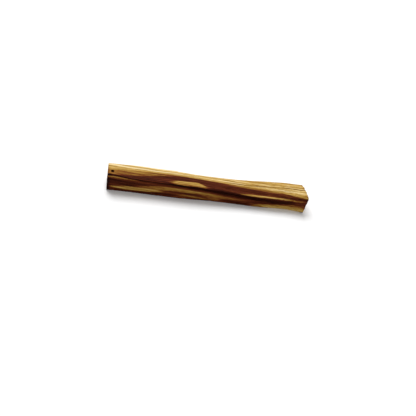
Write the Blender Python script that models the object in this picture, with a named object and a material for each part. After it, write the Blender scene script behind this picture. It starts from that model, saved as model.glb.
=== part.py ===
"""A stick of palo santo: split from the log along its grain, sawn to length, lying on its sawn underside.

Metres, X along the stick, Y across it and Z up. The origin is the middle of its footprint.
Each long edge, or arris, follows the grain, so it is a smooth curve through a few points along the stick.
"""

import math

import bmesh
import bpy
import numpy as np
from mathutils import Matrix, Vector

MM = 0.001

# Driving dimensions
LENGTH = 100 * MM  # along the grain, over the points where the long edges are given
SAWING_ALLOWANCE = 8 * MM  # the split billet is longer than the stick at each end

# How each arris runs: its depth (Y), its height (Z) and how far it is worn round, in millimetres at places
# that are evenly spaced from the left end to the right one.
ARRISES = {
    "near": {
        "depth": (-4.9, -5.0, -5.1, -5.2, -5.0, -4.9, -5.1, -4.9, -5.0),
        "height": (10.0, 8.9, 8.5, 8.5, 7.9, 6.8, 6.3, 7.0, 9.4),
        "round": (0.5, 0.4, 0.3, 0.3, 0.3, 0.5, 2.4),
    },
    "front_bottom": {
        "depth": (-5.1, -5.1, -5.4, -5.4, -4.9, -5.0, -5.2, -4.6, -6.0),
        "height": (0.0, 0.0),
        "round": (0.45, 0.45),
    },
    "back_bottom": {
        "depth": (4.4, 4.9, 5.0, 4.7, 4.4, 4.6, 5.0, 5.2, 5.0),
        "height": (0.0, 0.0),
        "round": (0.6, 0.6),
    },
    "back_belly": {
        "depth": (4.5, 5.4, 5.5, 4.9, 4.6, 4.9, 5.4, 5.8, 5.4),
        "height": (4.6, 5.2, 4.4, 3.9, 4.6, 5.0, 4.3, 4.0, 4.6),
        "round": (1.4, 1.4),
    },
    "back_top": {
        "depth": (3.9, 4.8, 4.9, 4.4, 4.1, 4.2, 4.8, 5.0, 4.5),
        "height": (9.8, 9.4, 8.9, 8.9, 8.5, 8.4, 8.5, 9.1, 9.5),
        "round": (0.6, 0.6),
    },
    "top_crease": {
        "depth": (0.2, 0.5, 0.5, 0.3, 0.3, 0.7, 0.9, 1.0, 0.4),
        "height": (10.0, 9.4, 9.1, 8.9, 8.4, 8.3, 8.5, 9.2, 9.9),
        "round": (1.2, 1.2, 0.9, 0.5, 0.5),
    },
}

# A sliver has torn out of the front face, just under the near arris. In millimetres at evenly spaced places:
# the brow that is left between the arris and the hollow, how tall the hollow is, and how deep.
HOLLOW_BROW = (0.6, 0.5, 0.4, 0.3, 0.3, 0.4, 0.6, 1.8, 3.4)
HOLLOW_TALL = (0.7, 0.8, 1.0, 1.4, 1.9, 2.2, 2.0, 1.6, 1.4)
HOLLOW_DEEP = (0.0, 0.1, 0.1, 0.4, 0.75, 0.8, 0.6, 0.2, 0.0)
HOLLOW_ROUND = 0.15 * MM  # of its roof, floor and lips
# Its roof and its floor: how far down the hollow each one is, and its share of the depth
HOLLOW_ROOF = (0.15, 1.0)
HOLLOW_FLOOR = (0.55, 0.75)

# A splinter has come off the back of the top: left of this place the edge stands higher
STEP_X = -16.5 * MM
STEP_RISE = 0.3 * MM
STEP_RUN = 0.5 * MM  # how gradual the step is
STEP_TAIL = 22 * MM  # over which it dies away to the left

# Points on each side of the section, between one rounded corner and the next, and on each rounded corner
SIDE_POINTS = {
    "front": 7,
    "bottom": 2,
    "back_low": 4,
    "back_high": 4,
    "top_back": 4,
    "top_front": 5,
    "brow": 1,
    "hollow": 1,
}
CORNER_POINTS = 3
MOST_ROUNDED = 0.4  # share of a side that the rounding of one of its corners may take
RINGS = 70  # sections along the billet
SIDE_CROWN = 0.12 * MM  # how far a split side bows out between its edges

# The grain stands in low ridges along the split sides: their height, and the net of knots that they follow
RIDGE_HEIGHT = 0.11 * MM
RIDGE_KNOTS_ALONG = 13
RIDGE_KNOTS_ACROSS = 4
RIDGE_SEED = 11
PLAIN_SIDES = ("bottom", "hollow", "brow")

# Saw cuts: where each one meets the near arris, and the way it faces. The right one is well off square.
LEFT_CUT_X = -50.1 * MM
LEFT_CUT_FACES = (-1.0, -0.10, 0.06)
RIGHT_CUT_X = 48.9 * MM
RIGHT_CUT_FACES = (1.0, 0.40, -0.26)

# A beetle's bore in the top, near the left end
BORE_AT = (-48.0 * MM, -2.1 * MM)
BORE_RADIUS = 0.5 * MM
BORE_DEEP = 3.5 * MM
BORE_SIDES = 12
BORE_LEAN = math.radians(12)

WOOD_COLOUR = (0.62, 0.42, 0.18, 1.0)
WOOD_ROUGHNESS = 0.6
SHARP_EDGE = math.radians(35)  # shown as an edge; anything less is shaded smooth


def clear_scene():
    """Takes every object out of the scene."""
    for thing in list(bpy.data.objects):
        bpy.data.objects.remove(thing)


def along(x, values_mm):
    """Smooth curve through evenly spaced values along the stick (Catmull-Rom), in metres; x is an array."""
    values = np.array(values_mm, float) * MM
    spans = len(values) - 1
    place = np.clip((x / LENGTH + 0.5) * spans, 0, spans - 1e-9)
    span = place.astype(int)
    t = place - span
    padded = np.concatenate(([values[0]], values, [values[-1]]))
    before, start, end, after = (padded[span + k] for k in range(4))
    leave = (end - before) / 2
    arrive = (after - start) / 2
    return (
        (2 * t**3 - 3 * t**2 + 1) * start
        + (t**3 - 2 * t**2 + t) * leave
        + (3 * t**2 - 2 * t**3) * end
        + (t**3 - t**2) * arrive
    )


def torn_step(x):
    """Height of the splinter's step at each x: none to its right, full just left of it, then dying away."""
    rise = 1 / (1 + np.exp((x - STEP_X) / STEP_RUN))
    return STEP_RISE * rise * np.exp(np.minimum(x - STEP_X, 0) / STEP_TAIL)


def corners_of(x):
    """The section's corners at each x, clockwise seen from the left end: (side after it, Y and Z, round)."""
    corner = {name: np.stack((along(x, a["depth"]), along(x, a["height"]))) for name, a in ARRISES.items()}
    round_off = {name: along(x, a["round"]) for name, a in ARRISES.items()}
    corner["back_top"][1] += torn_step(x)

    fall = corner["front_bottom"] - corner["near"]
    fall /= np.linalg.norm(fall, axis=0)
    inward = np.array([[1.0], [0.0]])
    brow, tall, deep = (along(x, values) for values in (HOLLOW_BROW, HOLLOW_TALL, HOLLOW_DEEP))
    hollow = [
        corner["near"] + fall * (brow + down * tall) + inward * share * deep
        for down, share in ((0, 0), HOLLOW_ROOF, HOLLOW_FLOOR, (1, 0))
    ]
    return [
        ("brow", corner["near"], round_off["near"]),
        ("hollow", hollow[0], HOLLOW_ROUND),
        ("hollow", hollow[1], HOLLOW_ROUND),
        ("hollow", hollow[2], HOLLOW_ROUND),
        ("front", hollow[3], HOLLOW_ROUND),
        ("bottom", corner["front_bottom"], round_off["front_bottom"]),
        ("back_low", corner["back_bottom"], round_off["back_bottom"]),
        ("back_high", corner["back_belly"], round_off["back_belly"]),
        ("top_back", corner["back_top"], round_off["back_top"]),
        ("top_front", corner["top_crease"], round_off["top_crease"]),
    ]


def toward(corner, other, distance):
    """The point at that distance from a corner along its side, but within MOST_ROUNDED of the side."""
    run = other - corner
    length = np.linalg.norm(run, axis=0)
    return corner + run * np.minimum(distance / length, MOST_ROUNDED)


def ridges(x, share, knots):
    """Height of the grain's ridges at each x, at that share of the way across a side: the net, smoothed."""
    place = share * (RIDGE_KNOTS_ACROSS - 1)
    row = min(int(place), RIDGE_KNOTS_ACROSS - 2)
    t = place - row
    blend = t * t * (3 - 2 * t)
    return (1 - blend) * along(x, knots[row]) + blend * along(x, knots[row + 1])


def section_points(x):
    """Y and Z of every point round the section at each x, as two arrays of (point, ring)."""
    rng = np.random.default_rng(RIDGE_SEED)
    corners = corners_of(x)
    points = []
    for i, (side, here, radius) in enumerate(corners):
        _, after, next_radius = corners[(i + 1) % len(corners)]
        start = toward(here, corners[i - 1][1], radius)
        end = toward(here, after, radius)
        for t in np.linspace(0, 1, CORNER_POINTS):
            points.append((1 - t) ** 2 * start + 2 * t * (1 - t) * here + t**2 * end)
        run = toward(after, here, next_radius) - end
        out = np.stack((run[1], -run[0])) / np.linalg.norm(run, axis=0)
        knots = rng.normal(0, RIDGE_HEIGHT / MM, (RIDGE_KNOTS_ACROSS, RIDGE_KNOTS_ALONG))
        for share in np.arange(1, SIDE_POINTS[side] + 1) / (SIDE_POINTS[side] + 1):
            bow = 4 * share * (1 - share)
            swell = 0 if side in PLAIN_SIDES else SIDE_CROWN * bow + ridges(x, share, knots) * bow**0.5
            points.append(end + share * run + swell * out)
    points = np.array(points)
    return points[:, 0], points[:, 1]


def billet():
    """The split piece before it is sawn to length: one ring of points for each section, joined by faces."""
    reach = LENGTH / 2 + SAWING_ALLOWANCE
    x = np.linspace(-reach, reach, RINGS)
    y, z = section_points(x)
    body = bmesh.new()
    rings = [
        [body.verts.new(spot) for spot in zip((x[i],) * len(y), y[:, i], z[:, i])]
        for i in range(RINGS)
    ]
    for ring, following in zip(rings, rings[1:]):
        for j in range(len(ring)):
            k = (j + 1) % len(ring)
            body.faces.new((ring[j], ring[k], following[k], following[j]))
    body.faces.new(reversed(rings[0]))
    body.faces.new(rings[-1])
    return body


def saw(body, x, facing):
    """Cuts the billet by a plane through the near arris at x, and closes the cut with one flat face."""
    station = np.array([x])
    near = ARRISES["near"]
    on_arris = (x, along(station, near["depth"])[0], along(station, near["height"])[0])
    cut = bmesh.ops.bisect_plane(
        body,
        geom=body.verts[:] + body.edges[:] + body.faces[:],
        dist=1e-7,
        plane_co=on_arris,
        plane_no=Vector(facing).normalized(),
        clear_outer=True,
    )
    rim = [part for part in cut["geom_cut"] if isinstance(part, bmesh.types.BMEdge)]
    bmesh.ops.edgeloop_fill(body, edges=rim)


def centre_on_footprint(body):
    """Moves the mesh so that its box stands on the origin, and returns that move."""
    spots = np.array([v.co for v in body.verts])
    low, high = spots.min(0), spots.max(0)
    shift = -Vector(((low[0] + high[0]) / 2, (low[1] + high[1]) / 2, low[2]))
    bmesh.ops.translate(body, verts=body.verts[:], vec=shift)
    return shift


def bore_cutter(shift):
    """A round peg where the beetle's bore is, standing out of the top; it only cuts."""
    x, y = BORE_AT
    top = along(np.array([x]), ARRISES["top_crease"]["height"])[0]
    mesh = bpy.data.meshes.new("bore_cutter")
    peg = bmesh.new()
    bmesh.ops.create_cone(
        peg,
        cap_ends=True,
        segments=BORE_SIDES,
        radius1=BORE_RADIUS,
        radius2=BORE_RADIUS,
        depth=2 * BORE_DEEP,
    )
    peg.to_mesh(mesh)
    peg.free()
    cutter = bpy.data.objects.new("bore_cutter", mesh)
    cutter.matrix_world = Matrix.Translation(Vector((x, y, top)) + shift) @ Matrix.Rotation(BORE_LEAN, 4, "X")
    cutter.hide_render = True
    cutter.display_type = "WIRE"
    bpy.context.scene.collection.objects.link(cutter)
    return cutter


def wood():
    """Pale resinous palo santo, with a dull natural sheen."""
    material = bpy.data.materials.new("palo_santo_wood")
    material.use_nodes = True
    shader = material.node_tree.nodes["Principled BSDF"]
    shader.inputs["Base Color"].default_value = WOOD_COLOUR
    shader.inputs["Roughness"].default_value = WOOD_ROUGHNESS
    shader.inputs["Metallic"].default_value = 0.0
    return material


def stick():
    """The stick, one piece of wood: the billet, sawn at both ends, with the beetle's bore cut into it."""
    body = billet()
    saw(body, LEFT_CUT_X, LEFT_CUT_FACES)
    saw(body, RIGHT_CUT_X, RIGHT_CUT_FACES)
    shift = centre_on_footprint(body)
    bmesh.ops.recalc_face_normals(body, faces=body.faces[:])
    mesh = bpy.data.meshes.new("stick")
    body.to_mesh(mesh)
    body.free()
    mesh.shade_smooth()
    mesh.set_sharp_from_angle(angle=SHARP_EDGE)
    mesh.materials.append(wood())
    piece = bpy.data.objects.new("stick", mesh)
    bpy.context.scene.collection.objects.link(piece)
    bore = piece.modifiers.new("bore", "BOOLEAN")
    bore.operation = "DIFFERENCE"
    bore.object = bore_cutter(shift)
    return piece


clear_scene()
stick()
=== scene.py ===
# %% [markdown]
# # A stick of palo santo
# Palo santo is a resinous wood that is split from the log along its grain and sawn to a finger's length.
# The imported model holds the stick's true size and its main faces. This lesson lays a much finer skin on
# them, with the fibres, torn splinters and saw marks of the real wood, and colours it as the log grew.

# %% Load the frame
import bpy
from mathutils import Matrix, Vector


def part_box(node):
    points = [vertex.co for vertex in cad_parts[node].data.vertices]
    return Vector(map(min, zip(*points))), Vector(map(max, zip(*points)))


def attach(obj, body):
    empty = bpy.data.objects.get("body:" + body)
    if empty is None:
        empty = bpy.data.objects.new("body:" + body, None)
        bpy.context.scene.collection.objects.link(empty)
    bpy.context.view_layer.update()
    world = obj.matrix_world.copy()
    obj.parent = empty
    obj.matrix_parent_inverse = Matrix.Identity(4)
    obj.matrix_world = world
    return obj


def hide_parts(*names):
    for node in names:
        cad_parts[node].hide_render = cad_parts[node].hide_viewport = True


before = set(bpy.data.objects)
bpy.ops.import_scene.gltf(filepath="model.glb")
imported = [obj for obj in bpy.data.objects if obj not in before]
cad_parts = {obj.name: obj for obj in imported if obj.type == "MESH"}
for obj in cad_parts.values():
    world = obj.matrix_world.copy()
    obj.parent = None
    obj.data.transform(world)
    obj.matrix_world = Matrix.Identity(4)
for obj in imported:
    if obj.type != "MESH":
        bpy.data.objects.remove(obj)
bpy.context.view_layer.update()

# %% [markdown]
# ## Camera
# The stick is seen from above its long side, from so far away that its edges stay nearly parallel. A camera
# is a point and three directions, so its matrix places it. The lens follows from how much of the stick one
# pixel covers at that distance, and a small roll gives the stick its slant in the picture.

# %% Camera
import itertools
import math

import bpy
import numpy as np
from mathutils import Matrix, Vector

MM = 0.001
PICTURE = 416  # pixels each way
PIXEL = 0.494 * MM  # what one pixel covers at the stick
DISTANCE = 550 * MM
CLIP = (0.01, 20)  # metres: nothing nearer or farther is drawn
ELEVATION = math.radians(42)
ROLL = math.radians(6.54)
STICK_MIDDLE = Vector((0, 0, 4.5 * MM))
MIDDLE_SHOWS_AT = (206.8, 187.6)  # in pixels from the picture's top left


def placed(name, data, matrix=Matrix()):
    """A new object with that data, in the scene."""
    made = bpy.data.objects.new(name, data)
    made.matrix_world = matrix
    bpy.context.scene.collection.objects.link(made)
    return made


def camera():
    """The camera, turned by the roll and moved so that the stick's middle shows in its place."""
    level, rise = Vector((1, 0, 0)), Vector((0, math.sin(ELEVATION), math.cos(ELEVATION)))
    right = level * math.cos(ROLL) + rise * math.sin(ROLL)
    up = rise * math.cos(ROLL) - level * math.sin(ROLL)
    back = right.cross(up)
    off_right = (MIDDLE_SHOWS_AT[0] - PICTURE / 2) * PIXEL
    off_up = (PICTURE / 2 - MIDDLE_SHOWS_AT[1]) * PIXEL
    place = STICK_MIDDLE - right * off_right - up * off_up + back * DISTANCE
    lens = bpy.data.cameras.new("camera")
    lens.lens = lens.sensor_width * DISTANCE / (PICTURE * PIXEL)
    lens.clip_start, lens.clip_end = CLIP
    turned = Matrix((right, up, back)).transposed().to_4x4()
    made = placed("camera", lens, Matrix.Translation(place) @ turned)
    bpy.context.scene.camera = made
    return made


print("lens", round(camera().data.lens, 1), "mm")

# %% [markdown]
# ## Materials by numbers
# Colours are written as the hex values that a picture shows. Blender mixes light in linear values, so one
# function turns the first into the second. Another adds any node, with its settings and links.

# %% Colour and node helpers
def linear(hex_colour):
    """The linear red, green, blue and alpha of an sRGB hex colour."""
    parts = [int(hex_colour[i:i + 2], 16) / 255 for i in (1, 3, 5)]
    return [p / 12.92 if p <= 0.04045 else ((p + 0.055) / 1.055) ** 2.4 for p in parts] + [1.0]


def node(tree, kind, sockets=None, **settings):
    """Adds a node with its settings; a socket takes a value, or is linked to the output given for it."""
    made = tree.nodes.new(kind)
    for name, value in settings.items():
        setattr(made, name, value)
    for name, value in (sockets or {}).items():
        if isinstance(value, bpy.types.NodeSocket):
            tree.links.new(value, made.inputs[name])
        else:
            made.inputs[name].default_value = value
    return made


def new_material(name):
    """A material with a Principled shader linked to its output, and nothing else."""
    material = bpy.data.materials.new(name)
    material.use_nodes = True
    tree = material.node_tree
    tree.nodes.clear()
    shader = node(tree, "ShaderNodeBsdfPrincipled")
    node(tree, "ShaderNodeOutputMaterial", {"Surface": shader.outputs["BSDF"]})
    return material, tree, shader


print("honey wood in linear light:", [round(c, 3) for c in linear("#e2c07f")])

# %% [markdown]
# ## Floor and light
# The stick lies on a white table under one large soft lamp, above and a little behind it. Its top is bright,
# its near side is in shade, and a soft shadow falls toward the camera. The plain view transform keeps white
# paper white.

# %% Floor and light
FLOOR_REACH = 3.0
FLOOR_WHITE = "#f4f4f4"
FLOOR_ROUGHNESS = 0.8
LAMP_AT = Vector((-0.25, 0.75, 1.25))
LAMP_SIZE = 0.9
LAMP_POWER = 21.5
SKY_STRENGTH = 0.5


def floor():
    """One large square of matt white under the stick."""
    mesh = bpy.data.meshes.new("floor")
    corners = [(-1, -1, 0), (1, -1, 0), (1, 1, 0), (-1, 1, 0)]
    mesh.from_pydata(np.array(corners) * FLOOR_REACH, [], [(0, 1, 2, 3)])
    made = placed("floor", mesh)
    material, _, shader = new_material("matt_white_table")
    shader.inputs["Base Color"].default_value = linear(FLOOR_WHITE)
    shader.inputs["Roughness"].default_value = FLOOR_ROUGHNESS
    mesh.materials.append(material)
    return made


def lamp():
    """The soft lamp, turned to face the stick."""
    light = bpy.data.lights.new("soft_lamp", "AREA")
    light.shape = "SQUARE"
    light.size = LAMP_SIZE
    light.energy = LAMP_POWER
    facing = (-LAMP_AT).to_track_quat("-Z", "Y").to_matrix().to_4x4()
    placed("soft_lamp", light, Matrix.Translation(LAMP_AT) @ facing)


def sky():
    """Even white light from all round."""
    world = bpy.data.worlds.new("studio")
    world.use_nodes = True
    background = world.node_tree.nodes["Background"]
    background.inputs["Color"].default_value = (1, 1, 1, 1)
    background.inputs["Strength"].default_value = SKY_STRENGTH
    bpy.context.scene.world = world


floor()
lamp()
sky()
bpy.context.scene.view_settings.view_transform = "Standard"
print("lamp", round(LAMP_AT.length, 2), "m from the stick")

# %% [markdown]
# ## The stick's edges
# A split stick has no straight edge: each arris follows the grain. So an edge is a smooth curve through a
# few measured places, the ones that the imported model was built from. The curve is Catmull-Rom, which passes
# through every place and keeps its slope from one span to the next.

# %% Edges along the grain
LENGTH = 100 * MM  # over the places where the edges are given

ARRISES = {  # the side after it; depth (Y), height (Z) and rounding in mm, evenly spaced from left to right
    "near": {
        "side": "brow",
        "depth": (-4.9, -5.0, -5.1, -5.2, -5.0, -4.9, -5.1, -4.9, -5.0),
        "height": (10.0, 8.9, 8.5, 8.5, 7.9, 6.8, 6.3, 7.0, 9.4),
        "round": (0.5, 0.4, 0.3, 0.3, 0.3, 0.5, 2.4),
    },
    "front_bottom": {
        "side": "bottom",
        "depth": (-5.1, -5.1, -5.4, -5.4, -4.9, -5.0, -5.2, -4.6, -6.0),
        "height": (0.0, 0.0),
        "round": (0.45, 0.45),
    },
    "back_bottom": {
        "side": "back_low",
        "depth": (4.4, 4.9, 5.0, 4.7, 4.4, 4.6, 5.0, 5.2, 5.0),
        "height": (0.0, 0.0),
        "round": (0.6, 0.6),
    },
    "back_belly": {
        "side": "back_high",
        "depth": (4.5, 5.4, 5.5, 4.9, 4.6, 4.9, 5.4, 5.8, 5.4),
        "height": (4.6, 5.2, 4.4, 3.9, 4.6, 5.0, 4.3, 4.0, 4.6),
        "round": (1.4, 1.4),
    },
    "back_top": {
        "side": "top_back",
        "depth": (3.9, 4.8, 4.9, 4.4, 4.1, 4.2, 4.8, 5.0, 4.5),
        "height": (9.8, 9.4, 8.9, 8.9, 8.5, 8.4, 8.5, 9.1, 9.5),
        "round": (0.6, 0.6),
    },
    "top_crease": {
        "side": "top_front",
        "depth": (0.2, 0.5, 0.5, 0.3, 0.3, 0.7, 0.9, 1.0, 0.4),
        "height": (10.0, 9.4, 9.1, 8.9, 8.4, 8.3, 8.5, 9.2, 9.9),
        "round": (1.2, 1.2, 0.9, 0.5, 0.5),
    },
}


def along(x, values_mm):
    """Catmull-Rom: each span blends its two values and its two slopes with the cubic Hermite weights."""
    values = np.array(values_mm, float) * MM
    spans = len(values) - 1
    place = np.clip((x / LENGTH + 0.5) * spans, 0, spans - 1e-9)
    span = place.astype(int)
    t = place - span
    padded = np.concatenate(([values[0]], values, [values[-1]]))
    before, start, end, after = (padded[span + k] for k in range(4))
    leave = (end - before) / 2
    arrive = (after - start) / 2
    return (
        (2 * t**3 - 3 * t**2 + 1) * start
        + (t**3 - 2 * t**2 + t) * leave
        + (3 * t**2 - 2 * t**3) * end
        + (t**3 - t**2) * arrive
    )


def within(x, values_mm, first, last):
    """The same curve through values evenly spaced from first to last, both in millimetres of x."""
    return along(((x / MM - first) / (last - first) - 0.5) * LENGTH, values_mm)


print("near arris at mid-length:", along(np.array([0.0]), ARRISES["near"]["height"]) / MM, "mm up")

# %% [markdown]
# ## The section
# Cut across, the stick is a rough square. Under the near arris a sliver has torn out and left a hollow, and
# on the back of the top a splinter has come off and left a step. The section is a ring of corners, and
# every corner knows how far it is worn round.

# %% Corners of the section
HOLLOW_BROW = (0.6, 0.5, 0.4, 0.3, 0.3, 0.4, 0.6, 1.8, 3.4)  # wood left between the arris and the hollow
HOLLOW_TALL = (0.7, 0.8, 1.0, 1.4, 1.9, 2.2, 2.0, 1.6, 1.4)
HOLLOW_DEEP = (0.0, 0.1, 0.1, 0.4, 0.75, 0.8, 0.6, 0.2, 0.0)
HOLLOW_ROUND = 0.15 * MM
HOLLOW_TURNS = (  # the side after it, share of the way down, share of the depth: lip, roof, floor and lip
    ("hollow", 0, 0), ("hollow", 0.15, 1.0), ("hollow", 0.55, 0.75), ("front", 1, 0))

STEP_X = -16.5 * MM
STEP_RISE = 0.3 * MM
STEP_RUN = 0.5 * MM  # how gradual the step is
STEP_TAIL = 22 * MM  # over which it dies away to the left


def torn_step(x):
    """A logistic rise to the left of STEP_X, times an exponential decay further left."""
    rise = 1 / (1 + np.exp((x - STEP_X) / STEP_RUN))
    return STEP_RISE * rise * np.exp(np.minimum(x - STEP_X, 0) / STEP_TAIL)


def corners_of(x):
    """The section's corners, clockwise seen from the left end: (side after it, Y and Z, round)."""
    corner = {name: np.stack((along(x, a["depth"]), along(x, a["height"]))) for name, a in ARRISES.items()}
    corner["back_top"][1] += torn_step(x)

    fall = corner["front_bottom"] - corner["near"]
    fall /= np.linalg.norm(fall, axis=0)
    brow, tall, deep = (along(x, values) for values in (HOLLOW_BROW, HOLLOW_TALL, HOLLOW_DEEP))
    inward = np.stack((deep, 0 * deep))
    hollow = [
        (side, corner["near"] + fall * (brow + down * tall) + share * inward, HOLLOW_ROUND)
        for side, down, share in HOLLOW_TURNS
    ]
    arrises = [(a["side"], corner[name], along(x, a["round"])) for name, a in ARRISES.items()]
    return arrises[:1] + hollow + arrises[1:]


print("a section has", len(corners_of(np.zeros(1))), "corners")

# %% [markdown]
# The skin is a function of two parameters: x along the stick, and v, the distance round the section. Each
# rounding and each side takes a stretch of v. As v is a real distance, later patterns have real sizes.

# %% Roundings and sides
MOST_ROUNDED = 0.4  # share of a side that the rounding of one of its corners may take
LAYOUT_PLACES = 60  # along the stick, over which the sides' lengths are averaged
CORNER_OF = {"near": 0, "front_bottom": 5, "back_bottom": 6, "back_top": 8, "top_crease": 9}  # in corners_of


def toward(corner, other, distance):
    """The point at that distance from a corner along its side, within MOST_ROUNDED of the side."""
    run = other - corner
    return corner + run * np.minimum(distance / np.linalg.norm(run, axis=0), MOST_ROUNDED)


def pieces_of(x):
    """For each corner: the side after it, then its rounding's start, corner and end, and the side's end."""
    corners = corners_of(x)
    for i, (side, here, radius) in enumerate(corners):
        _, after, next_radius = corners[(i + 1) % len(corners)]
        start = toward(here, corners[i - 1][1], radius)
        yield side, start, here, toward(here, after, radius), toward(after, here, next_radius)


def layout():
    """Where each rounding and side begins round the section: the running sum of their mean lengths."""
    lengths = []
    for _, start, _, end, stop in pieces_of(np.linspace(-LENGTH / 2, LENGTH / 2, LAYOUT_PLACES)):
        lengths += [np.linalg.norm(run, axis=0).mean() for run in (end - start, stop - end)]
    return np.concatenate(([0], np.cumsum(lengths)))


BEGINS = layout()
GIRTH = BEGINS[-1]


def begins_at(arris):
    """How far round the section an arris's rounding begins."""
    return BEGINS[2 * CORNER_OF[arris]]


print("the stick is", round(GIRTH / MM, 1), "mm round")

# %% [markdown]
# A rounding is a quadratic Bezier curve from one side to the next. A side is a line that bows out a little
# and carries low ridges along the grain: a net of random heights, made smooth both ways.

# %% The section as a function of x and v
SIDE_CROWN = 0.12 * MM
RIDGE_HEIGHT_MM = 0.11
RIDGE_KNOTS = (4, 13)  # across a side and along it
RIDGE_SEED = 11
PLAIN_SIDES = ("bottom", "hollow", "brow")


def smoothstep(t):
    """3t^2 - 2t^3, which rises from 0 to 1 and is level at both ends."""
    t = np.clip(t, 0, 1)
    return t * t * (3 - 2 * t)


def ridges(x, share, knots):
    """The net of knots, blended by Catmull-Rom along and by smoothstep weights across."""
    place = share * (len(knots) - 1)
    return sum(along(x, row) * smoothstep(1 - abs(place - k)) for k, row in enumerate(knots))


def section(x, v):
    """Y and Z at x, v: on a corner a Bezier curve, on a side the line with its bow and ridges."""
    rng = np.random.default_rng(RIDGE_SEED)
    v = v % GIRTH
    spot = np.zeros((2,) + x.shape)
    for i, (side, start, here, end, stop) in enumerate(pieces_of(x)):
        knots = rng.normal(0, RIDGE_HEIGHT_MM, RIDGE_KNOTS)
        begin, middle, finish = BEGINS[2 * i:2 * i + 3]
        t = (v - begin) / (middle - begin)
        turn = (1 - t) ** 2 * start + 2 * t * (1 - t) * here + t**2 * end
        spot = np.where((v >= begin) & (v < middle), turn, spot)
        share = np.clip((v - middle) / (finish - middle), 0, 1)
        bow = 4 * share * (1 - share)
        swell = 0 if side in PLAIN_SIDES else SIDE_CROWN * bow + ridges(x, share, knots) * bow**0.5
        run = stop - end
        out = np.stack((run[1], -run[0])) / np.linalg.norm(run, axis=0)
        spot = np.where((v >= middle) & (v < finish), end + share * run + swell * out, spot)
    return spot


print("the section begins at", (section(np.zeros(1), np.zeros(1)).ravel() / MM).round(2), "mm at mid-length")

# %% [markdown]
# ## The grain
# Trees grow in rings, and a stick is a small piece of a few of them. Here they are cylinders round a far pith
# below the stick's front, so every point has a place in the log: along it, across the rings and round them.
# The grain drifts across the stick from end to end, so streaks run out of its sides at a slant. Relief and
# colour both read this place, which keeps them one piece of wood.

# %% A point's place in the log
PITH_FAR = 40 * MM
PITH_TILT = math.radians(35)  # the rings face this far above level, away from the camera
GRAIN_DRIFT = (0.0, -0.5, -0.8, -1.0, -1.4, -2.0, -2.6, -3.1, -3.5)  # mm across the rings, from left to right
LATTICE = 32  # cells each way before the noise repeats


def log_place(x, y, z):
    """Along, across and round the rings: x; distance from the pith less its mean and the drift; the arc."""
    from_pith_y = y + PITH_FAR * math.cos(PITH_TILT)
    from_pith_z = z - STICK_MIDDLE.z + PITH_FAR * math.sin(PITH_TILT)
    across = np.hypot(from_pith_y, from_pith_z) - PITH_FAR - along(x, GRAIN_DRIFT)
    return np.stack((x, across, (np.arctan2(from_pith_z, from_pith_y) - PITH_TILT) * PITH_FAR))


def bumps(place, size_mm, seed):
    """Smooth noise: random heights on a lattice of cells of that size, blended by smoothstep weights."""
    heights = np.random.default_rng(seed).normal(size=(LATTICE, LATTICE, LATTICE))
    spot = place / (np.array(size_mm) * MM).reshape((3,) + (1,) * (place.ndim - 1))
    cell = np.floor(spot).astype(int)
    t = smoothstep(spot - cell)
    total = 0
    for corner in itertools.product((0, 1), repeat=3):
        index = tuple((cell[k] + corner[k]) % LATTICE for k in range(3))
        weight = np.prod([t[k] if corner[k] else 1 - t[k] for k in range(3)], axis=0)
        total = total + weight * heights[index]
    return total


middle_in_log = log_place(*(np.full(1, c) for c in STICK_MIDDLE))
print("place of the stick's middle in the log:", (middle_in_log.ravel() / MM).round(2), "mm")

# %% [markdown]
# ## Splinters
# Splitting leaves scars, fibres and cracks. Each is a height above or below the section, and heights can be
# added up freely and lifted off the skin in one step. A splinter tears out along the grain and leaves a long
# shallow lens with one sharp edge. The arrises have lost short ones too. The lenses lie at random, each
# turned to the slope of the grain.

# %% Scars of splinters
# In mm, from the least to the most: half-lengths, half-widths and depths
SPLINTERS = {"count": 90, "long": (4, 20), "wide": (0.25, 0.9), "deep": (0.06, 0.2), "seed": 5}
NICKS = {"count": 46, "long": (0.8, 3.5), "wide": (0.2, 0.45), "deep": (0.06, 0.18), "seed": 8}
NICK_OFF = 0.4 * MM  # how far past the arris it may be
SHARP_EDGE = 0.15  # share of a scar's width over which its sharp edge drops
SLOPE_STEP = 0.2 * MM
LEAST_TURN = SLOPE_STEP / 4  # below this v runs along the rings, and no slope is taken
STEEPEST = 0.08


def grain_slope(x, v):
    """How far a fibre moves round the section per metre along: minus the ratio of the rings' slopes."""
    moves = ((SLOPE_STEP, 0), (-SLOPE_STEP, 0), (0, SLOPE_STEP), (0, -SLOPE_STEP))
    ahead, behind, onward, back = (log_place(x + a, *section(x + a, v + b))[1] for a, b in moves)
    turn = onward - back
    return np.clip(-(ahead - behind) / np.where(abs(turn) < LEAST_TURN, np.inf, turn), -STEEPEST, STEEPEST)


def round_gap(v, other):
    """How far v is round the section from other, the short way."""
    return (v - other + GIRTH / 2) % GIRTH - GIRTH / 2


def scars(x, v, kind, places_round):
    """Sum of random lenses: full depth at the sharp edge, fading across to the other and to the ends."""
    rng = np.random.default_rng(kind["seed"])
    count = kind["count"]
    centres = rng.uniform(-LENGTH / 2, LENGTH / 2, count), places_round(rng, count)
    sizes = [rng.uniform(*kind[size], count) * MM for size in ("long", "wide", "deep")]
    total = np.zeros(x.shape)
    for x0, v0, slope, long, wide, deep, sharp in zip(
            *centres, grain_slope(*centres), *sizes, rng.choice((-1, 1), count)):
        reach = np.clip(1 - ((x - x0) / long) ** 2, 0, 1)
        across = sharp * round_gap(v, v0 + slope * (x - x0)) / (wide * np.maximum(reach, 1e-3))
        share = np.clip((across + 1) / 2, 0, 1)
        total += deep * reach**0.5 * smoothstep(share / SHARP_EDGE) * (1 - share)
    return total


def anywhere(rng, count):
    """Places all round the section."""
    return rng.uniform(0, GIRTH, count)


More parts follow.
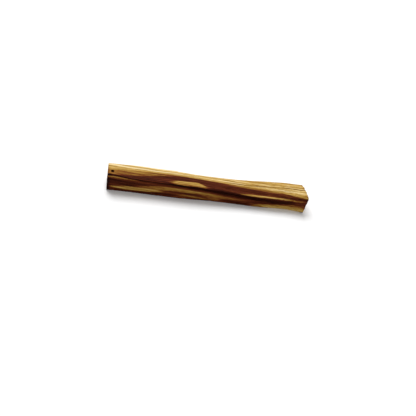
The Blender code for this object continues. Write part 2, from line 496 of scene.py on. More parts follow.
def on_arrises(rng, count):
    """Places on the arrises, where a splinter catches first."""
    return rng.choice([begins_at(arris) for arris in CORNER_OF], count) + rng.uniform(0, NICK_OFF, count)


print(SPLINTERS["count"], "scars on the sides and", NICKS["count"], "on the arrises")

# %% [markdown]
# ## Fibres and ledges
# Between the scars the fibres stand in fine ridges. They are noise in three sizes, with cells far longer
# along the grain than across it. A split also steps from one ring of the log to the next and leaves a ledge,
# which is a sawtooth across the rings. Noise moves the teeth about and leaves some of them out.

# %% Fibres and ledges
FIBRES = (  # size along, across and round the rings, and height, in mm
    ((26, 1.5, 1.7), 0.06),
    ((14, 0.65, 0.7), 0.042),
    ((6, 0.36, 0.38), 0.026),
)
LEDGE_PITCH = 0.95 * MM
LEDGE_HIGH = 0.1 * MM
LEDGE_DROP = 0.2  # share of the pitch over which a ledge falls away
LEDGE_MOVES = {"by": 0.8, "size": (22, 2.5, 4), "seed": 21}  # in pitches; cell sizes in mm
LEDGE_VARIES = {"mean": 0.6, "by": 0.6, "most": 1.5, "size": (9, 1.2, 3), "seed": 22}  # shares of LEDGE_HIGH


def fibres(place):
    """Three sizes of stretched noise."""
    return sum(height * MM * bumps(place, size, seed) for seed, (size, height) in enumerate(FIBRES))


def ledges(place):
    """A sawtooth across the rings: a slow rise and a quick fall in each pitch, of varying height."""
    moves, varies = LEDGE_MOVES, LEDGE_VARIES
    count = place[1] / LEDGE_PITCH + moves["by"] * bumps(place, moves["size"], moves["seed"])
    share = count - np.floor(count)
    tooth = share * smoothstep((1 - share) / LEDGE_DROP)
    height = varies["mean"] + varies["by"] * bumps(place, varies["size"], varies["seed"])
    return LEDGE_HIGH * np.clip(height, 0, varies["most"]) * tooth


print("ledges about every", round(LEDGE_PITCH / MM, 2), "mm across the rings")

# %% [markdown]
# ## Cracks
# As it dried the wood cracked beside the crease of the top and along the near arris. A crack's line is given
# as an offset from the arris that it runs beside. Across, its groove is bell-shaped.

# %% Cracks
CRACKS = (  # the arris that it runs beside; its ends, in mm of x; its offset, half-width and depth, in mm
    {"beside": "top_crease", "ends": (6, 50), "offset": (0.45, 0.55, 0.75, 0.95, 1.0, 1.25, 1.75, 1.9),
     "wide": 0.13, "deep": (0.0, 0.11, 0.16, 0.18, 0.24, 0.27, 0.32, 0.28)},
    {"beside": "near", "ends": (-52, -24), "offset": (0.4, 0.28, 0.4, 0.7, 0.72),
     "wide": 0.12, "deep": (0.12, 0.2, 0.18, 0.08, 0.0)},
)
CRACK_WANDER = {"by": 0.07 * MM, "size": 5, "seed": 25}  # every size in mm
CRACK_OPENS = {"mean": 0.9, "by": 0.25, "size": 7, "seed": 27}  # shares of its depth
CRACK_OPEN = (0.3, 1.2)  # the least and the most


def along_noise(x, kind, k):
    """Smooth noise of that kind for crack k, which changes along the stick alone."""
    return kind["by"] * bumps(np.stack((x, 0 * x, 0 * x)), (kind["size"], 1, 1), kind["seed"] + k)


def cracks(x, v, widened=1):
    """Each crack is a bell-shaped groove along a line, which wanders, opens and closes a little."""
    total = np.zeros(x.shape)
    for k, crack in enumerate(CRACKS):
        offset, deep = (within(x, crack[values], *crack["ends"]) for values in ("offset", "deep"))
        line = begins_at(crack["beside"]) + offset + along_noise(x, CRACK_WANDER, k)
        gap = round_gap(v, line) / (crack["wide"] * MM * widened)
        opens = np.clip(CRACK_OPENS["mean"] + along_noise(x, CRACK_OPENS, k), *CRACK_OPEN)
        total += deep * opens * np.exp(-(gap**2))
    return total


print(len(CRACKS), "cracks")

# %% [markdown]
# ## The skin
# The relief is lifted off along the section's own outward direction. Underneath, where the stick was sawn
# flat and lies on the table, it may only sink in, so that nothing reaches below the table.

# %% The skin
OUTWARD_STEP = 0.04 * MM  # each way, to find the way round the section
UNDERSIDE = 0.4 * MM  # over this height the relief changes from sinking in to both ways


def relief(x, v, place):
    """Height above the section: fibres and ledges, less splinters, nicks and cracks."""
    torn = scars(x, v, SPLINTERS, anywhere) + scars(x, v, NICKS, on_arrises)
    return fibres(place) + ledges(place) - torn - cracks(x, v)


def skin(x, v):
    """X, Y and Z: the section at x, v moved outward by the relief, at right angles to the way round it."""
    y, z = section(x, v)
    way = section(x, v + OUTWARD_STEP) - section(x, v - OUTWARD_STEP)
    way /= np.linalg.norm(way, axis=0)
    height = relief(x, v, log_place(x, y, z))
    free = np.clip(z / UNDERSIDE, 0, 1)
    height = free * height + (1 - free) * np.minimum(height, 0)
    return np.stack((x, y + way[1] * height, z - way[0] * height))


print("with its relief it begins at", (skin(np.zeros(1), np.zeros(1)).ravel() / MM).round(2), "mm")

# %% [markdown]
# ## Rows and columns
# The grid is fine where the eye needs it: every 0.15 mm round the visible sides, and every third of a
# millimetre along, closer toward the saw cuts. Rows are spaced by adding up how many of them each stretch
# asks for, and reading that sum backwards.

# %% Grid
SIDE_STEPS = {
    "brow": 0.16, "hollow": 0.16, "front": 0.145, "bottom": 0.25,
    "back_low": 0.16, "back_high": 0.16, "top_back": 0.145, "top_front": 0.13,
}
CORNER_STEP = 0.12
ROW_STEP = 0.31 * MM
END_STEP = 0.14 * MM
END_REACH = 3 * MM
ROW_SAMPLES = 5000
LEFT_CUT = {"x": -50.1 * MM, "faces": (-1.0, -0.10, 0.06), "saw_way": math.radians(70), "seed": 40}
RIGHT_CUT = {"x": 48.9 * MM, "faces": (1.0, 0.40, -0.26), "saw_way": math.radians(25), "seed": 50}
BORE_AT = (-48.17 * MM, -2.1 * MM)
BORE_REACH = 1.3 * MM


def columns():
    """Places round the section: each rounding and each side in equal steps of about its own size."""
    names = [side for side, _, _ in corners_of(np.zeros(1))]
    steps = [step * MM for side in names for step in (CORNER_STEP, SIDE_STEPS[side])]
    parts = [
        np.linspace(begin, end, max(2, round((end - begin) / step)), endpoint=False)
        for begin, end, step in zip(BEGINS, BEGINS[1:], steps)
    ]
    return np.concatenate(parts)


def rows():
    """Shares of the way from the left cut to the right one, closer together toward both."""
    x = np.linspace(LEFT_CUT["x"], RIGHT_CUT["x"], ROW_SAMPLES)
    from_end = np.minimum(x - LEFT_CUT["x"], RIGHT_CUT["x"] - x)
    step = END_STEP + (ROW_STEP - END_STEP) * np.clip(from_end / END_REACH, 0, 1)
    count = np.cumsum(1 / step) * (x[1] - x[0])
    evenly = np.linspace(count[0], count[-1], int(count[-1]))
    return (np.interp(evenly, count, x) - x[0]) / (x[-1] - x[0])


COLUMNS = columns()
ROWS = rows()
print(len(ROWS), "rows of", len(COLUMNS))

# %% [markdown]
# ## Saw cuts
# Both ends were sawn, the right one well off square. A cut is a plane through the near arris. Where a column
# meets that plane depends on its Y and Z, and those depend on x, so x is put back into the section a few
# times. That settles quickly, because the section changes slowly.

# %% Where the columns meet the saw cuts
SUBSTITUTIONS = 4
RIM_WORN = (0.07 * MM, 0.2 * MM)  # how far the saw's sharp rim has crumbled, here and there twice this
RIM_NOISE_MM = (1, 0.5, 1)
RIM_SEED = 30


def plane_x(cut, y, z):
    """X of the cut's plane: its own x, less the plane's slopes times the way from the near arris."""
    station = np.array([cut["x"]])
    near_y = along(station, ARRISES["near"]["depth"])
    near_z = along(station, ARRISES["near"]["height"])
    facing = cut["faces"]
    return cut["x"] - (facing[1] * (y - near_y) + facing[2] * (z - near_z)) / facing[0]


def cut_line(cut, v):
    """X where each column v meets the cut: it is put back into the section a few times."""
    x = np.full(v.shape, cut["x"])
    for _ in range(SUBSTITUTIONS):
        x = plane_x(cut, *section(x, v))
    return x


def rim_wear(v, k):
    """How far rim k is worn at each column: noise about the middle of the two limits."""
    low, high = RIM_WORN
    noise = bumps(np.stack((np.full(v.shape, k * MM), v, 0 * v)), RIM_NOISE_MM, RIM_SEED + k)
    return np.clip((low + high) / 2 + (high - low) / 3 * noise, low / 2, 2 * high)


LEFT_WEAR, RIGHT_WEAR = rim_wear(COLUMNS, 1), rim_wear(COLUMNS, 2)
LEFT_LINE = cut_line(LEFT_CUT, COLUMNS) + LEFT_WEAR
RIGHT_LINE = cut_line(RIGHT_CUT, COLUMNS) - RIGHT_WEAR
GRID_X = LEFT_LINE + (RIGHT_LINE - LEFT_LINE) * ROWS[:, None]
GRID_V = np.broadcast_to(COLUMNS, GRID_X.shape)
SKIN = skin(GRID_X, GRID_V)
print("skin from", SKIN.reshape(3, -1).min(1), "to", SKIN.reshape(3, -1).max(1))

# %% [markdown]
# Each saw cut is closed by rings that shrink from the rim to a point in the middle. The first few turn the
# worn rim over in a quarter circle. The rest lie in the plane and carry the saw's shallow scratches and the
# rough ends of the fibres.

# %% Cut faces
RIM_TURNS = (0.35, 0.7, 1.0)  # shares of the quarter circle
CAP_RINGS = 22
FIRST_RING = 0.12  # share of the way in: further than any crack or scar in the rim is deep
RIM_SMOOTHING = 60  # rounds of averaging with both neighbours
SAW_PITCH = 0.9 * MM
SAW_DEEP = 0.04 * MM
FIBRE_ENDS = 0.01 * MM
FACE_NOISES_MM = ((1, 2.5, 2.5), (1, 1.1, 1.1), (1, 0.3, 0.3))  # the saw's sway, roughness, fibres' ends


def smoothed(ring):
    """The ring without its cracks and scars: each point averaged with its neighbours many times."""
    for _ in range(RIM_SMOOTHING):
        ring = (np.roll(ring, 1) + 2 * ring + np.roll(ring, -1)) / 4
    return ring


def saw_marks(y, z, way, seed):
    """Height of the marks: a wave across the saw's way, upset by noise, and the fibres' rough ends."""
    spot = np.stack((0 * y, y, z))
    sway, rough, ends = (bumps(spot, size, seed + k) for k, size in enumerate(FACE_NOISES_MM))
    across = y * math.cos(way) + z * math.sin(way)
    return SAW_DEEP * (np.sin(2 * math.pi * across / SAW_PITCH + sway) + rough) + FIBRE_ENDS * ends


def cut_face(rim, wear, cut):
    """Rings over a cut: the rim turned over in a quarter circle, then straight lines to the middle."""
    _, y, z = rim
    outward = cut["faces"][0]
    plain = np.stack((smoothed(y), smoothed(z)))
    along_rim = np.roll(plain, -1, axis=1) - np.roll(plain, 1, axis=1)
    along_rim /= np.linalg.norm(along_rim, axis=0)
    angle = np.array(RIM_TURNS)[:, None] * math.pi / 2
    sink = wear * (1 - np.cos(angle))
    turned_y, turned_z = y - along_rim[1] * sink, z + along_rim[0] * sink
    turned_x = plane_x(cut, turned_y, turned_z) - outward * wear * (1 - np.sin(angle))

    inner = turned_y[-1], turned_z[-1]
    share = np.linspace(FIRST_RING, 1, CAP_RINGS)[:-1, None]
    flat_y, flat_z = (smoothed(ring) * (1 - share) + ring.mean() * share for ring in inner)
    flat_x = plane_x(cut, flat_y, flat_z) + outward * saw_marks(flat_y, flat_z, cut["saw_way"], cut["seed"])
    return np.concatenate(((turned_x, turned_y, turned_z), (flat_x, flat_y, flat_z)), axis=1)


LEFT_FACE = cut_face(SKIN[:, 0], LEFT_WEAR, LEFT_CUT)
RIGHT_FACE = cut_face(SKIN[:, -1], RIGHT_WEAR, RIGHT_CUT)
print("cut faces of", LEFT_FACE.shape[1], "rings")

# %% [markdown]
# ## The beetle's hole
# Near the left end a beetle has bored into the top. A round hole doesn't fit a square grid, so a rectangle
# of the skin is left out and filled by rings. The first takes the rectangle's own points, the next grow
# round as they shrink, and from the hole's lip they go on down the tunnel to a closed end.

# %% The hole
BORE_RADIUS = 0.76 * MM
LIP_STRETCH = 1.3  # across the grain the lip has crumbled to an oval
LIP_WAVES = ((3, 1.0, 0.035), (5, 0.0, 0.015))  # how many round the lip, their phase, share of the radius
BORE_LEAN = math.radians(12)
BORE_DEEP = 3.2 * MM
TUNNEL_SIZE = 0.97  # of the lip
TUNNEL_WINDS = 0.12 * MM
TUNNEL_TURNS = (3, 4)  # radians of winding from the lip to the end, sideways and back
LEVEL_BY = 0.25  # share of the way down where the rings lie level
CLOSES_FROM = 0.8  # share of the way down where the tunnel starts to close
CLOSED = 0.7  # of its width
SHEET_RINGS = 7
TUNNEL_RINGS = 14
SIDE_SAMPLES = 400
TOP_FRONT = BEGINS[-2:]  # where the side that it is in begins and ends


def bore_centre():
    """X of the hole, and the v at which its side has the hole's Y."""
    v = np.linspace(*TOP_FRONT, SIDE_SAMPLES)
    y = section(np.full(v.shape, BORE_AT[0]), v)[0]
    return BORE_AT[0], np.interp(-BORE_AT[1], -y, v)


BORE_X, BORE_V = bore_centre()
FIRST_COLUMN, LAST_COLUMN = np.searchsorted(COLUMNS, (BORE_V - BORE_REACH, BORE_V + BORE_REACH))
ROW_X = GRID_X[:, (FIRST_COLUMN + LAST_COLUMN) // 2]
FIRST_ROW, LAST_ROW = np.searchsorted(ROW_X, (BORE_X - BORE_REACH, BORE_X + BORE_REACH))


def rectangle_rim():
    """Rows and columns of the points round the rectangle that is left out."""
    down = np.arange(FIRST_ROW, LAST_ROW)
    over = np.arange(FIRST_COLUMN, LAST_COLUMN)
    row = (down, np.full(len(over), LAST_ROW), down[::-1] + 1, np.full(len(over), FIRST_ROW))
    column = (np.full(len(down), FIRST_COLUMN), over, np.full(len(down), LAST_COLUMN), over[::-1] + 1)
    return np.concatenate(row), np.concatenate(column)


RIM = rectangle_rim()


def bore_sheet():
    """Rings from the rectangle to the lip: each parameter goes straight from one to the other."""
    x, v = GRID_X[RIM], GRID_V[RIM]
    angle = np.arctan2(v - BORE_V, x - BORE_X)
    ragged = BORE_RADIUS * (1 + sum(size * np.sin(count * angle + phase) for count, phase, size in LIP_WAVES))
    share = (np.arange(1, SHEET_RINGS + 1) / SHEET_RINGS)[:, None]
    round_x, round_v = BORE_X + ragged * np.cos(angle), BORE_V + LIP_STRETCH * ragged * np.sin(angle)
    return skin(x + share * (round_x - x), v + share * (round_v - v))


def tunnel(lip):
    """Rings like the lip, soon level and closing at the end, down a leaning axis that winds a little."""
    share = (np.arange(1, TUNNEL_RINGS + 1) / TUNNEL_RINGS)[:, None]
    sideways, backward = (turns * share for turns in TUNNEL_TURNS)
    right = TUNNEL_WINDS * np.sin(sideways)
    back = BORE_DEEP * share * math.sin(BORE_LEAN) + TUNNEL_WINDS * (np.cos(backward) - 1)
    down = BORE_DEEP * share * math.cos(BORE_LEAN)
    size = TUNNEL_SIZE * (1 - CLOSED * np.clip((share - CLOSES_FROM) / (1 - CLOSES_FROM), 0, 1) ** 2)
    tilt = 1 - np.clip(share / LEVEL_BY, 0, 1)
    middle = lip.mean(1)[:, None, None]
    grown = np.stack((size, size, size * tilt)) * (lip[:, None] - middle)
    return middle + np.stack((right, back, -down)) + grown


SHEET = bore_sheet()
TUNNEL = tunnel(SHEET[:, -1])
print("hole at v =", round(BORE_V / MM, 2), "mm, filled by", SHEET.shape[1] + TUNNEL.shape[1], "rings")

# %% [markdown]
# ## One closed mesh
# All the sheets share their rims, so they are numbered as one list of points, and each point is given how
# much painted shade and darkening it carries and how sawn it is. Strips of four-sided faces join each ring to
# the next and a fan closes each end, which makes one watertight body.

# %% Numbers, strips and fans
points = []
shade_and_rim_dark = []
sawn = []


def number(sheet, dark=0, cut=0):
    """Adds points with their painted shade and darkening and how sawn they are; returns their numbers as a
    sheet.
    """
    first = sum(len(part) for part in points)
    points.append(sheet.reshape(3, -1).T)
    shade_and_rim_dark.append(np.broadcast_to(dark, sheet.shape[1:]).ravel())
    sawn.append(np.broadcast_to(cut, sheet.shape[1:]).ravel())
    return first + np.arange(sheet[0].size).reshape(sheet.shape[1:])


def strips(rings):
    """Faces between each closed ring and the next."""
    ahead = np.roll(rings, -1, axis=1)
    return np.stack((rings[:-1], ahead[:-1], ahead[1:], rings[1:]), axis=-1)


def fan(ring, middle):
    """Triangles from a closed ring to a point."""
    return np.stack((ring, np.roll(ring, -1), np.full(len(ring), middle)), axis=-1)


def close(rim, rings, forward, dark, cut):
    """Faces from a rim through its rings to a new middle point; forward says which way round faces out."""
    numbers = np.vstack((rim, number(rings, dark, cut)))
    middle = number(rings[:, -1].mean(1).reshape(3, 1), np.ravel(dark)[-1], np.ravel(cut)[-1])[0]
    groups = strips(numbers).reshape(-1, 4), fan(numbers[-1], middle)
    return [group if forward else group[:, ::-1] for group in groups]


print("a fan from a ring of four to a point:", fan(np.arange(4), 4).tolist())

# %% [markdown]
# The cracks and the hole are painted dark as shade, and the cut faces and the skin beside them a little
# darker.

# %% Every face
CRACK_BLACK = 0.32 * MM  # a groove this deep is painted black as shade
SHADE_SPREAD = 2.5  # the painted shade reaches this much further to the sides than the groove
END_DARKENING = 0.16  # the cut faces and the skin beside them are painted this much darker
LIP_SHADE = 0.6  # painted shade on the hole's lip; from the first ring below it the hole is painted black as shade
RIM_FADE = 0.6 * MM  # darkening beside the saw cuts, less and less over this distance
CUT_RINGS = 5  # rings of a cut face over which split wood gives way to sawn wood


def crack_shade_and_rim_dark():
    """On the skin: painted shade in the cracks, plus a darkening that fades exponentially from both rims."""
    from_rim = np.minimum(GRID_X - LEFT_LINE, RIGHT_LINE - GRID_X)
    # painted shade in the cracks, darker as the groove deepens
    held = cracks(GRID_X, GRID_V, SHADE_SPREAD) / CRACK_BLACK
    return np.clip(held + END_DARKENING * np.exp(-from_rim / RIM_FADE), 0, 1)


def stick_faces():
    """Every face: the skin less the hole's rectangle, both cut faces, and the hole's sheet and tunnel."""
    grid = number(SKIN, crack_shade_and_rim_dark())
    keep = np.ones((len(ROWS) - 1, len(COLUMNS)), bool)
    keep[FIRST_ROW:LAST_ROW, FIRST_COLUMN:LAST_COLUMN] = False
    cut = np.clip(np.arange(1, LEFT_FACE.shape[1] + 1) / CUT_RINGS, 0, 1)[:, None]
    hole = np.concatenate((SHEET, TUNNEL), axis=1)
    # painted shade: the hole's lip is darkened and the tunnel below it is painted black
    below_lip = np.arange(hole.shape[1])[:, None] - (SHEET_RINGS - 1)
    dark = np.clip(LIP_SHADE + (1 - LIP_SHADE) * below_lip, 0, 1)
    return [
        strips(grid)[keep],
        *close(grid[0], LEFT_FACE, False, END_DARKENING, cut),
        *close(grid[-1], RIGHT_FACE, True, END_DARKENING, cut),
        *close(grid[RIM], hole, False, dark, 0),
    ]


face_groups = stick_faces()
spots = np.vstack(points)
darkness, sawn_share = np.concatenate(shade_and_rim_dark), np.concatenate(sawn)
print(len(spots), "points,", sum(len(group) for group in face_groups), "faces")

# %% [markdown]
# The points inside the rectangle are in no face, so they are dropped. The skin is then moved as the packed
# model was, so that its box stands on the same middle.

# %% The stick's object
def used_only(spots, groups):
    """Which points some face uses, and all faces as lists, numbered over those points alone."""
    used = np.zeros(len(spots), bool)
    for group in groups:
        used[group] = True
    renumbered = np.cumsum(used) - 1
    return used, [face for group in groups for face in renumbered[group].tolist()]


def box_shift(spots):
    """The move from the skin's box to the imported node's: middle to middle, underside to underside."""
    low, high = (np.array(corner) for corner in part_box("stick"))
    shift = (low + high) / 2 - (spots.min(0) + spots.max(0)) / 2
    shift[2] = low[2] - spots[:, 2].min()
    return shift


def stick(spots, faces, shift):
    """The stick's object, shaded smooth."""
    mesh = bpy.data.meshes.new("stick_skin")
    mesh.from_pydata(spots + shift, [], faces)
    mesh.shade_smooth()
    return placed("stick_skin", mesh)


used, faces = used_only(spots, face_groups)
spots, darkness, sawn_share = spots[used], darkness[used], sawn_share[used]
SHIFT = box_shift(spots)
piece = stick(spots, faces, SHIFT)
print("moved by", SHIFT / MM, "mm;", sum(len(face) - 2 for face in faces), "triangles")

# %% [markdown]
# ## Streaks
# The heart of the log is dark with resin and the young wood outside it is pale. The streaks are layers of
# the rings, each between two edges that are measured at evenly spaced places along it. They are painted in
# order, like glazes, as far as their soft edges reach. A tone of 0 is pale young wood, and 1 is nearly black.
# A few also paint shade: at the left cut, along the left crack and under the near arris.

# %% Streaks in the rings
SAPWOOD_TONE = 0.135
EVERYWHERE = (-60, 60)
STREAKS = (  # tone; softness of edges and of tips; ends along the stick; edges across the rings; in mm
    ("golden back", 0.3, 0.5, 6, (14, 80), (6.6, 7.4, 7.6, 7.6), (30, 30)),
    ("gold beside the heart", 0.23, 0.45, 5.4, EVERYWHERE, (-30, -30),
     (4.4, 4.7, 5.2, 5.4, 5.3, 5.2, 5.2, 4.9, 4.3, 3.2, 2.9)),
    ("light strip over the long crack", 0.13, 0.3, 3.6, (0, 60), (4.9, 5.3, 5.9, 6.9, 7.4, 7.4),
     (5.6, 6.6, 7.1, 8.0, 8.4, 8.5)),
    ("light strip under the long crack", 0.1, 0.3, 3.6, (12, 50), (4.5, 4.6, 4.7, 4.6, 4.6, 4.9),
     (5.1, 5.4, 5.6, 5.8, 5.9, 5.6)),
    ("palest part of the light strip", 0.0, 0.3, 4, (31, 44), (4.6, 4.5, 4.8), (5.6, 5.8, 5.9)),
    ("heartwood", 0.8, 0.5, 6, EVERYWHERE, (-30, -30),
     (2.7, 3.4, 3.9, 4.55, 4.45, 4.4, 4.1, 3.9, 3.7, 2.3, 1.6)),
    ("brown heart on the right", 0.745, 0.4, 6, (26, 60), (1.2, 1.2, 1.0, 0.7, 0.6),
     (3.6, 3.2, 1.9, 1.3, 1.0)),
    ("gold stain under the young wood", 0.5, 0.4, 4.8, (0, 62), (4.0, 3.55, 3.45, 3.55, 2.85, 2.2),
     (4.2, 4.2, 4.15, 4.2, 3.9, 3.6)),
    ("brown shoulder", 0.535, 0.4, 4.8, (-62, -18), (0.3, 0.3, 0.4, 0.5, 1.1, 1.6, 2.5, 3.3, 3.8),
     (3.0, 3.1, 3.3, 3.7, 3.9, 4.0, 4.0, 4.1, 4.2)),
    ("golden left end of the shoulder", 0.42, 0.4, 3, (-60, -46.5), (0.7, 0.7), (4.0, 4.0)),
    ("dark heart on the arris", 0.835, 0.3, 3.6, (2, 28), (-0.2, -0.1), (1.8, 2.0)),
    ("lower heartwood", 0.8, 0.15, 1.8, EVERYWHERE, (-30, -30), (-0.5, -0.5)),
    ("yellow lens", 0.39, 0.14, 3, (-18.8, -1.4), (0.0, -0.2, -0.22, -0.2, -0.1, -0.13, -0.13, -0.1, 0.0),
     (0.95, 1.5, 1.72, 1.8, 1.93, 2.07, 2.1, 1.45, 0.6)),
    ("yellow streak", 0.44, 0.13, 6, (14, 41.5), (0.05, -0.35, -0.45, -0.28, -0.02, 0.12, 0.3, 0.5, 0.58),
     (0.15, 0.28, 0.55, 0.73, 0.83, 0.93, 1.0, 1.0, 0.95)),
    ("thread under the crack", 0.5, 0.14, 5, (-53, -36), (-1.3, -1.3, -1.25), (-0.7, -0.7, -0.95)),
    ("olive lobe", 0.42, 0.25, 3, (-48, -24), (-5.55, -5.45, -5.3, -5.1, -4.55),
     (-4.8, -4.25, -3.8, -3.6, -3.7)),
    ("olive streak", 0.51, 0.22, 2.64, (-36, 6), (-3.9, -3.75, -3.6, -3.3, -3.5),
     (-3.3, -2.2, -2.25, -2.3, -2.35)),
    ("brown middle of the olive streak", 0.6, 0.25, 5, (-4, 10), (-3.8, -4.35, -3.5),
     (-2.35, -2.45, -2.45)),
    ("brown end of the olive streak", 0.68, 0.25, 5, (5, 25), (-3.6, -3.2, -2.8, -2.5),
     (-2.45, -2.4, -2.25, -2.1)),
    ("lower brown", 0.62, 0.3, 3.6, (-17, -1), (-5.7, -5.5, -5.0), (-4.7, -4.3, -4.5)),
    # partly dark resinous heartwood, partly painted shade under the near arris's lip
    ("black band", 1.0, 0.2, 2.4, (-28, 60), (-0.8, -1.2, -1.5, -1.8, -1.8, -1.5, -1.2, -1.0),
     (-0.5, -0.35, -0.2, -0.1, -0.3, -0.1, 0.1, 0.3)),
    ("dark foot", 0.85, 0.3, 3.6, (7, 46), (-6.0, -4.0, -2.1, -1.5), (-3.45, -2.5, -1.5, -1.2)),
    ("brown right end", 0.82, 0.3, 3.6, (42, 60), (-2.0, -2.0), (0.6, 0.6)),
    ("thread past the yellow streak", 0.55, 0.12, 3, (40, 46.5), (0.68, 0.65), (0.87, 0.85)),
    ("low gold", 0.34, 0.25, 3, (22, 62), (-4.2, -3.9, -3.7, -3.6, -3.8, -4.0),
     (-4.1, -2.85, -1.95, -1.8, -1.6, -1.5)),
    ("brown edge of the low gold", 0.54, 0.25, 3, (22, 62), (-4.0, -3.0, -2.1, -1.93, -1.84, -1.8),
     (-3.4, -2.45, -1.43, -1.22, -1.08, -1.0)),
    # painted shade along the left crack
    ("crack's black edge", 1.05, 0.1, 1.2, (-60, -28), (-0.45, -0.45, -0.48, -0.9, -0.9),
     (0.05, 0.05, 0.0, -0.42, -0.5)),
    # partly dark end grain, partly painted shade at the left cut
    ("grimy left edge", 0.98, 0.3, 0.7, (-60, -49.3), (-30, -30), (-1.6, -1.6)),
    ("black notch", 1.1, 0.2, 0.6, (-60, -48.6), (-0.6, -0.6), (0.35, 0.35)),
)
ENDS_ROUND = {"crack's black edge": (5.4, 30)}  # the others go on round the rings
FRAY = (((6, 0.25, 0.35), 0.1), ((2, 0.14, 0.2), 0.04))  # cell size and height in mm: streaks end in fibres
FRAY_SEED = 60


def cover(place, name, soft, tip, ends, lower, upper):
    """How far a streak covers each point: smoothstep of the distance inside its nearest edge or tip."""
    x, across, turned = place
    near, far = ENDS_ROUND.get(name, EVERYWHERE)
    edges = np.minimum(across - within(x, lower, *ends), within(x, upper, *ends) - across)
    edges = np.minimum(edges, np.minimum(turned - near * MM, far * MM - turned))
    tips = np.minimum(x - ends[0] * MM, ends[1] * MM - x) * soft / tip
    return smoothstep(0.5 + np.minimum(edges, tips) / (2 * soft * MM))


def tone(place):
    """The wood's tone at each place: sapwood, then every streak over it in turn."""
    frayed = place.copy()
    frayed[1] += sum(height * MM * bumps(place, size, FRAY_SEED + k) for k, (size, height) in enumerate(FRAY))
    total = np.full(place.shape[1:], SAPWOOD_TONE)
    for name, own, *form in STREAKS:
        total += (own - total) * cover(frayed, name, *form)
    return total


print(len(STREAKS), "streaks, from", STREAKS[0][0], "to", STREAKS[-1][0])

# %% [markdown]
# The tones are worked out once for every point of the mesh and kept in it as an attribute that the material
# reads. Each point also keeps its place in the log, for the finer patterns.

# %% Tones of the points
BLACK = 1.1
UNDER_THE_RIM = 3.5 * MM  # the dark streaks at the rims stay off the cut faces, which show the tones from this far inside


def give(mesh, name, kind, values):
    """Writes one value or one vector for each point of the mesh."""
    attribute = mesh.attributes.new(name, kind, "POINT")
    attribute.data.foreach_set("value" if kind == "FLOAT" else "vector", np.ravel(values).astype(np.float32))


place_in_log = log_place(*spots.T)
inside_the_rims = place_in_log.copy()
inside_the_rims[0] -= UNDER_THE_RIM * sawn_share * np.sign(place_in_log[0])
tones = tone(inside_the_rims)
# painted shade in the cracks and the hole, and the darker cut faces and rims
tones += (BLACK - tones) * darkness
give(piece.data, "tone", "FLOAT", tones)
give(piece.data, "sawn", "FLOAT", sawn_share)
give(piece.data, "log_place", "FLOAT_VECTOR", place_in_log.T / MM)
print("tones from", tones.min().round(2), "to", tones.max().round(2))

# %% [markdown]
# ## The wood
# Palo santo, split and left bare: dry, with a dull resinous sheen on the heartwood. What the eye sees is the
# tone of the streaks, broken up by growth lines about a millimetre apart, fibres a quarter of a millimetre
# across, and short dark pores. All three are noise stretched along the grain, read at the point's place in
# the log, so they run along the sides and turn into rings on the sawn ends.

# %% Noise along the grain
NOISES = {  # cell size along, across and round the rings in mm; detail; seed
    "growth": ((70, 0.8, 9), 3, 1),
    "fibres": ((9, 0.28, 0.28), 4, 2),
    "pores": ((2.2, 0.16, 0.16), 2, 3),
    "rays": ((9, 2.5, 0.13), 2, 4),
    "scratches": ((9, 7, 0.2), 2, 5),
}
NOISE_ROUGHNESS = 0.6
NOISE_MEAN = 0.5


def stretched_noise(tree, place, size_mm, detail, seed):
    """Noise whose cells have that size along, across and round the rings, less its mean."""
    cells = node(tree, "ShaderNodeMapping", {"Vector": place, "Scale": [1 / s for s in size_mm],
                                             "Location": (seed, seed, seed)})
    noise = node(tree, "ShaderNodeTexNoise", {"Vector": cells.outputs["Vector"], "Scale": 1.0,
                                              "Detail": detail, "Roughness": NOISE_ROUGHNESS})
    less_mean = node(tree, "ShaderNodeMath", {0: noise.outputs["Fac"], 1: NOISE_MEAN}, operation="SUBTRACT")
    return less_mean.outputs[0]


def plus(tree, total, part, amount):
    """total + part * amount, where any of them may be a number or an output."""
    return node(tree, "ShaderNodeMath", {0: part, 1: amount, 2: total}, operation="MULTIPLY_ADD").outputs[0]


print(len(NOISES), "noises")

# %% [markdown]
# On the sawn ends the fibres are cut across and hardly show. There are fine rays across the rings instead,
# the dots of the vessels, by their distance from the nearest of scattered points, and the saw's scratches.

# %% End grain
VESSELS_MM = (9, 0.24, 0.24)  # apart, each way; real vessels are closer and finer, and would not show
VESSEL_DOTS = {"From Min": 0.32, "From Max": 0.12}  # pitches from a dot's middle: its edge, and its full dark
SCRATCH_WAY = math.radians(20)
END_SHOWS = {"rays": 0.45, "vessels": 0.22, "scratches": 0.25}  # how strongly each shows, in tones


def end_grain(tree, place):
    """The sawn ends' own tone, of rays, vessels and scratches, and the scratches alone, as height."""
    rays = stretched_noise(tree, place, *NOISES["rays"])
    cells = node(tree, "ShaderNodeMapping", {"Vector": place, "Scale": [1 / s for s in VESSELS_MM]})
    nearest = node(tree, "ShaderNodeTexVoronoi", {"Vector": cells.outputs["Vector"], "Scale": 1.0})
    dots = node(tree, "ShaderNodeMapRange", {"Value": nearest.outputs["Distance"], **VESSEL_DOTS})
    turned = node(tree, "ShaderNodeMapping", {"Vector": place, "Rotation": (SCRATCH_WAY, 0, 0)})
    scratches = stretched_noise(tree, turned.outputs["Vector"], *NOISES["scratches"])
    tones = plus(tree, 0.0, rays, END_SHOWS["rays"])
    tones = plus(tree, tones, dots.outputs["Result"], END_SHOWS["vessels"])
    return plus(tree, tones, scratches, END_SHOWS["scratches"]), scratches


print("vessels", VESSELS_MM[1], "mm apart")

# %% [markdown]
# A ramp of ten colours, from young wood to resin, shows the tone and its finer lines. Resin also makes the
# heartwood a little glossier, and the saw leaves the ends dull.

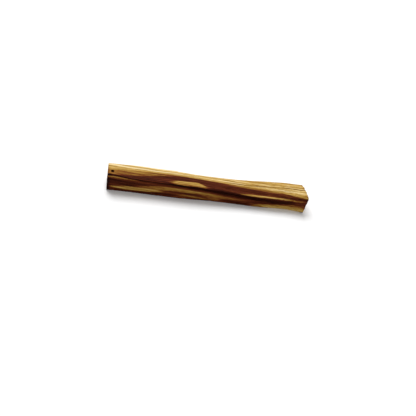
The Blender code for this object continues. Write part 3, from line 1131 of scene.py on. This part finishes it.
# %% Palo santo wood
WOOD_TONES = (
    (0.00, "#e8d09c"), (0.13, "#d3b473"), (0.26, "#be9850"), (0.38, "#a9843f"), (0.50, "#92692a"),
    (0.58, "#80501f"), (0.66, "#6a3419"), (0.76, "#532210"), (0.88, "#391307"), (1.00, "#1c0401"),
)
SIDES_SHOW = {"growth": 1.3, "fibres": 0.7, "pores": 0.4}  # in tones
LOST_ON_ENDS = {"growth": 0.6, "fibres": 0.85}  # how much of them the saw cuts don't show
SHOWS_ON_PALE = 1.15  # pale wood shows its lines more
SHOWS_LESS_ON_DARK = 0.65  # per tone
SPECULAR = 0.02
SHEEN = {"From Min": 0.2, "From Max": 0.9, "To Min": 0.62, "To Max": 0.46}  # from tone to roughness
ENDS_ROUGHER = 0.35
PORES_STAND = 0.7  # beside the fibres, in the bump
SCRATCHES_STAND = 0.2
BUMP_HIGH = 0.14 * MM


def palo_santo():
    """Bare split palo santo: a ramp turns the tone and its finer lines into a colour."""
    material, tree, shader = new_material("split_palo_santo")
    place = node(tree, "ShaderNodeAttribute", attribute_name="log_place").outputs["Vector"]
    streaks = node(tree, "ShaderNodeAttribute", attribute_name="tone").outputs["Fac"]
    cut = node(tree, "ShaderNodeAttribute", attribute_name="sawn").outputs["Fac"]
    growth, threads, pores = (stretched_noise(tree, place, *NOISES[name]) for name in SIDES_SHOW)
    end_tones, scratches = end_grain(tree, place)

    left = plus(tree, 1.0, cut, -LOST_ON_ENDS["fibres"])
    rings = plus(tree, 0.0, growth, plus(tree, SIDES_SHOW["growth"], cut, -LOST_ON_ENDS["growth"]))
    lines = plus(tree, plus(tree, 0.0, threads, SIDES_SHOW["fibres"]), pores, SIDES_SHOW["pores"])
    uneven = plus(tree, plus(tree, rings, lines, left), end_tones, cut)
    total = plus(tree, streaks, uneven, plus(tree, SHOWS_ON_PALE, streaks, -SHOWS_LESS_ON_DARK))
    ramp = node(tree, "ShaderNodeValToRGB", {"Fac": total})
    stops = ramp.color_ramp.elements
    while len(stops) < len(WOOD_TONES):
        stops.new(0.5)
    for stop, (at, colour) in zip(stops, WOOD_TONES):
        stop.position = at
        stop.color = linear(colour)
    tree.links.new(ramp.outputs["Color"], shader.inputs["Base Color"])
    shader.inputs["Specular IOR Level"].default_value = SPECULAR

    sheen = node(tree, "ShaderNodeMapRange", {"Value": total, **SHEEN})
    tree.links.new(plus(tree, sheen.outputs["Result"], cut, ENDS_ROUGHER), shader.inputs["Roughness"])
    height = plus(tree, 0.0, plus(tree, threads, pores, PORES_STAND), left)
    height = plus(tree, height, plus(tree, 0.0, scratches, SCRATCHES_STAND), cut)
    bump = node(tree, "ShaderNodeBump", {"Height": height, "Distance": BUMP_HIGH})
    tree.links.new(bump.outputs["Normal"], shader.inputs["Normal"])
    return material


piece.data.materials.append(palo_santo())
print("material", piece.data.materials[0].name)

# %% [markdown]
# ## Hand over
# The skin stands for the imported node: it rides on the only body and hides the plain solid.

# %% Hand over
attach(piece, "root")
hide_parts("stick")
bpy.context.view_layer.update()
